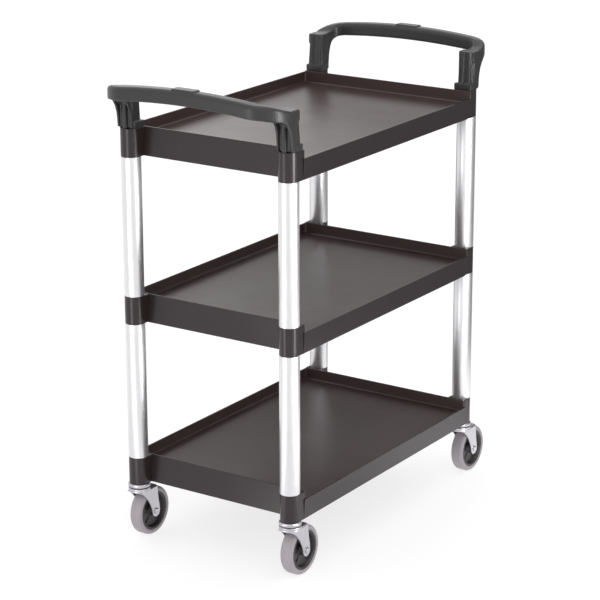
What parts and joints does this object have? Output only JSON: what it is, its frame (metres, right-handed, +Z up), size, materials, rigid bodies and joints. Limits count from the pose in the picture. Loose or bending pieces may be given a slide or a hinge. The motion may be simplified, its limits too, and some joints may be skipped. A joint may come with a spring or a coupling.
{
  "type": "food service trolley",
  "caption": "Service trolley: moulded trays with raised edges on round metal posts, bow handles at the short ends, rolling on swivel casters.",
  "frame": {"origin": "on the floor, under the middle of the trolley", "axes": "+X along the length towards the end that the wheels trail to, +Y across the width away from the low shelf wall, +Z up"},
  "size_m": [0.8336, 0.4152, 0.9676],
  "materials": {
    "shelf_plastic": "satin",
    "handle_plastic": "satin",
    "post_metal": "satin",
    "caster_steel": "bright zinc",
    "fastener_steel": "bright zinc",
    "wheel_plastic": "satin",
    "tyre_rubber": "matt"
  },
  "bodies": {
    "frame": {"bottom_shelf": "shelf_plastic", "caster_race_front_left": "caster_steel", "caster_race_front_right": "caster_steel", "caster_race_rear_left": "caster_steel", "caster_race_rear_right": "caster_steel", "caster_stem_front_left": "caster_steel", "caster_stem_front_right": "caster_steel", "caster_stem_rear_left": "caster_steel", "caster_stem_rear_right": "caster_steel", "handle_left": "handle_plastic", "handle_right": "handle_plastic", "lower_post_front_left": "post_metal", "lower_post_front_right": "post_metal", "lower_post_rear_left": "post_metal", "lower_post_rear_right": "post_metal", "middle_shelf": "shelf_plastic", "top_shelf": "shelf_plastic", "upper_post_front_left": "post_metal", "upper_post_front_right": "post_metal", "upper_post_rear_left": "post_metal", "upper_post_rear_right": "post_metal"},
    "swivel_front_left": {"caster_fork_front_left": "caster_steel", "axle_bolt_front_left": "fastener_steel", "axle_nut_front_left": "fastener_steel"},
    "wheel_front_left": {"wheel_core_front_left": "wheel_plastic", "tyre_front_left": "tyre_rubber"},
    "swivel_front_right": {"caster_fork_front_right": "caster_steel", "axle_bolt_front_right": "fastener_steel", "axle_nut_front_right": "fastener_steel"},
    "wheel_front_right": {"wheel_core_front_right": "wheel_plastic", "tyre_front_right": "tyre_rubber"},
    "swivel_rear_left": {"caster_fork_rear_left": "caster_steel", "axle_bolt_rear_left": "fastener_steel", "axle_nut_rear_left": "fastener_steel"},
    "wheel_rear_left": {"wheel_core_rear_left": "wheel_plastic", "tyre_rear_left": "tyre_rubber"},
    "swivel_rear_right": {"caster_fork_rear_right": "caster_steel", "axle_bolt_rear_right": "fastener_steel", "axle_nut_rear_right": "fastener_steel"},
    "wheel_rear_right": {"wheel_core_rear_right": "wheel_plastic", "tyre_rear_right": "tyre_rubber"}
  },
  "joints": [
    {"name": "swivel_front_left", "type": "hinge", "parent": "frame", "child": "swivel_front_left", "pos_m": [-0.334, -0.185, 0.11], "axis": [0, 0, 1], "continuous": true},
    {"name": "spin_front_left", "type": "hinge", "parent": "swivel_front_left", "child": "wheel_front_left", "pos_m": [-0.302, -0.185, 0.0508], "axis": [0, 1, 0], "continuous": true},
    {"name": "swivel_front_right", "type": "hinge", "parent": "frame", "child": "swivel_front_right", "pos_m": [0.334, -0.185, 0.11], "axis": [0, 0, 1], "continuous": true},
    {"name": "spin_front_right", "type": "hinge", "parent": "swivel_front_right", "child": "wheel_front_right", "pos_m": [0.366, -0.185, 0.0508], "axis": [0, 1, 0], "continuous": true},
    {"name": "swivel_rear_left", "type": "hinge", "parent": "frame", "child": "swivel_rear_left", "pos_m": [-0.334, 0.185, 0.11], "axis": [0, 0, 1], "continuous": true},
    {"name": "spin_rear_left", "type": "hinge", "parent": "swivel_rear_left", "child": "wheel_rear_left", "pos_m": [-0.302, 0.185, 0.0508], "axis": [0, 1, 0], "continuous": true},
    {"name": "swivel_rear_right", "type": "hinge", "parent": "frame", "child": "swivel_rear_right", "pos_m": [0.334, 0.185, 0.11], "axis": [0, 0, 1], "continuous": true},
    {"name": "spin_rear_right", "type": "hinge", "parent": "swivel_rear_right", "child": "wheel_rear_right", "pos_m": [0.366, 0.185, 0.0508], "axis": [0, 1, 0], "continuous": true}
  ]
}
